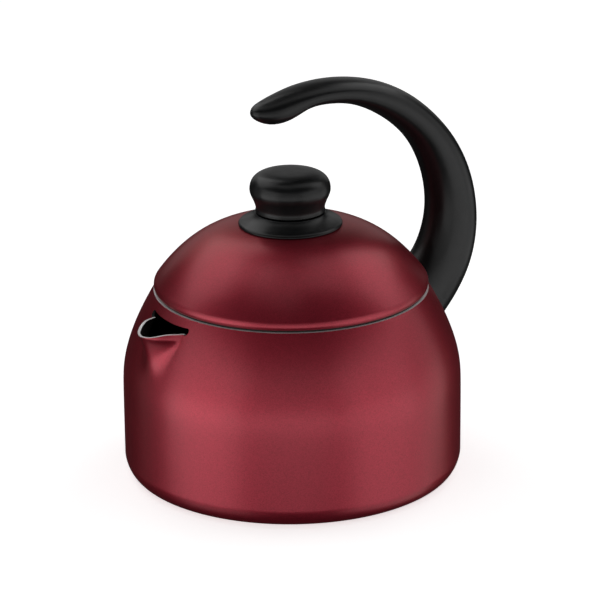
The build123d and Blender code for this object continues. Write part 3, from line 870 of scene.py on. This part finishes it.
# ---- camera ----------------------------------------------------------------------------
# The camera looks down on the kettle from the beak's left side.
CAMERA_FAR = 1.5733
CAMERA_RISE = radians(20.814)
CAMERA_ROUND = radians(-31.7)
CAMERA_YAW = radians(0.167)
CAMERA_PITCH = radians(1.244)
CAMERA_ROLL = radians(-0.622)
AIM_Z = 0.05408
CAMERA_LENS = 180.14
CAMERA_SENSOR = 36.0


def round_axis(v, angle):
    return Matrix.Rotation(angle, 3, "Z") @ Vector(v)


eye = Vector((0.0, -CAMERA_FAR * cos(CAMERA_RISE), AIM_Z + CAMERA_FAR * sin(CAMERA_RISE)))
ahead = Vector((0.0, cos(CAMERA_RISE), -sin(CAMERA_RISE)))
right = Vector((1.0, 0.0, 0.0))
up = right.cross(ahead)
ahead, right = (
    ahead * cos(CAMERA_YAW) + right * sin(CAMERA_YAW),
    right * cos(CAMERA_YAW) - ahead * sin(CAMERA_YAW),
)
ahead, up = (
    ahead * cos(CAMERA_PITCH) + up * sin(CAMERA_PITCH),
    up * cos(CAMERA_PITCH) - ahead * sin(CAMERA_PITCH),
)
right, up = (
    right * cos(CAMERA_ROLL) + up * sin(CAMERA_ROLL),
    up * cos(CAMERA_ROLL) - right * sin(CAMERA_ROLL),
)
camera = bpy.data.objects.new("camera", bpy.data.cameras.new("camera"))
bpy.context.scene.collection.objects.link(camera)
camera.data.lens = CAMERA_LENS
camera.data.sensor_width = CAMERA_SENSOR
camera.data.clip_start, camera.data.clip_end = 0.05, 50.0
facing = Matrix.Rotation(CAMERA_ROUND, 3, "Z") @ Matrix((right, up, -ahead)).transposed()
camera.matrix_world = Matrix.Translation(round_axis(eye, CAMERA_ROUND)) @ facing.to_4x4()
bpy.context.scene.camera = camera

# ---- lights ----------------------------------------------------------------------------
# Large soft boxes ring the kettle. The low ring stands for the light a pale sweep throws back
# up at the wall; the high ones draw the soft bands on the lid and the shoulder.
LIGHT_FAR = 1.2
LIGHT_AIM = Vector((0.0, 0.0, 0.08))


def soft_box(name, side, rise, wide, tall, power):
    """side is the angle round the kettle from the camera, to its right; rise is the angle up."""
    light = bpy.data.lights.new(name, "AREA")
    light.shape = "RECTANGLE"
    light.size, light.size_y = wide, tall
    light.energy = power
    lamp = bpy.data.objects.new(name, light)
    bpy.context.scene.collection.objects.link(lamp)
    angle, lift = radians(side), radians(rise)
    toward = Vector((sin(angle) * cos(lift), -cos(angle) * cos(lift), sin(lift)))
    lamp.location = round_axis(toward, CAMERA_ROUND) * LIGHT_FAR + LIGHT_AIM
    lamp.rotation_mode = "QUATERNION"
    lamp.rotation_quaternion = (lamp.location - LIGHT_AIM).to_track_quat("Z", "Y")
    return lamp


soft_box("low_left", -60.0, -12.0, 1.28, 0.56, 4.3)
soft_box("low_front", 0.0, -12.0, 1.28, 0.56, 2.8)
soft_box("low_right", 60.0, -12.0, 1.28, 0.56, 3.1)
soft_box("low_far_left", -105.0, -12.0, 0.62, 0.56, 0.2)
soft_box("low_far_right", 105.0, -12.0, 0.62, 0.56, 1.0)
soft_box("left", -60.0, 15.0, 1.28, 0.56, 2.9)
soft_box("front", 0.0, 15.0, 1.28, 0.56, 1.25)
soft_box("right", 60.0, 15.0, 1.28, 0.56, 2.3)
soft_box("far_left", -105.0, 15.0, 0.62, 0.56, 0.2)
soft_box("far_right", 105.0, 15.0, 0.62, 0.56, 0.7)
soft_box("back", 180.0, 15.0, 1.6, 0.56, 0.9)
soft_box("high_left", -128.0, 45.0, 1.3, 0.7, 3.7)
soft_box("high_right", 122.0, 42.0, 1.2, 0.6, 3.0)
soft_box("over_left", -105.0, 68.0, 0.55, 0.56, 0.55)
soft_box("over_right", 105.0, 68.0, 0.8, 0.56, 0.95)
soft_box("over_front", -30.0, 78.0, 0.7, 0.7, 0.7)
soft_box("glow_left", -60.0, -40.0, 0.9, 0.56, 0.8)
soft_box("glow_right", 75.0, -40.0, 1.3, 0.56, 1.85)

world = bpy.data.worlds.new("studio")
world.use_nodes = True
world.node_tree.nodes["Background"].inputs["Color"].default_value = (1.0, 1.0, 1.0, 1.0)
world.node_tree.nodes["Background"].inputs["Strength"].default_value = 0.02
bpy.context.scene.world = world
bpy.context.scene.view_settings.view_transform = "Standard"
